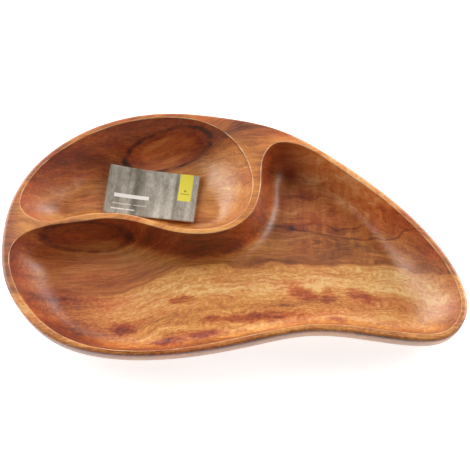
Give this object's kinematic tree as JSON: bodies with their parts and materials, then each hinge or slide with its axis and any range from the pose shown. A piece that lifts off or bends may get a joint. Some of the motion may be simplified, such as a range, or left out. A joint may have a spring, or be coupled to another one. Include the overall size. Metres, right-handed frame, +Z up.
{
  "type": "chip and dip server",
  "caption": "Free-form carved wooden serving tray with a broad chip well, a smaller dip well, a curved divider and a loose label card.",
  "frame": {"origin": "centre of the tray's footprint, on its flat base", "axes": "+Z up, +X along the tray towards its narrow tip, +Y towards the side that holds the dip well"},
  "size_m": [0.457, 0.268, 0.05],
  "materials": {
    "oiled_acacia": "oiled satin",
    "printed_card": "matte print on card"
  },
  "bodies": {
    "tray": {"carved_tray": "oiled_acacia"},
    "card": {"label_card": "printed_card"}
  },
  "joints": [
    {"name": "card_lift_out", "type": "slide", "parent": "tray", "child": "card", "axis": [0, 0, 1], "range_m": [0, 0.12]}
  ]
}
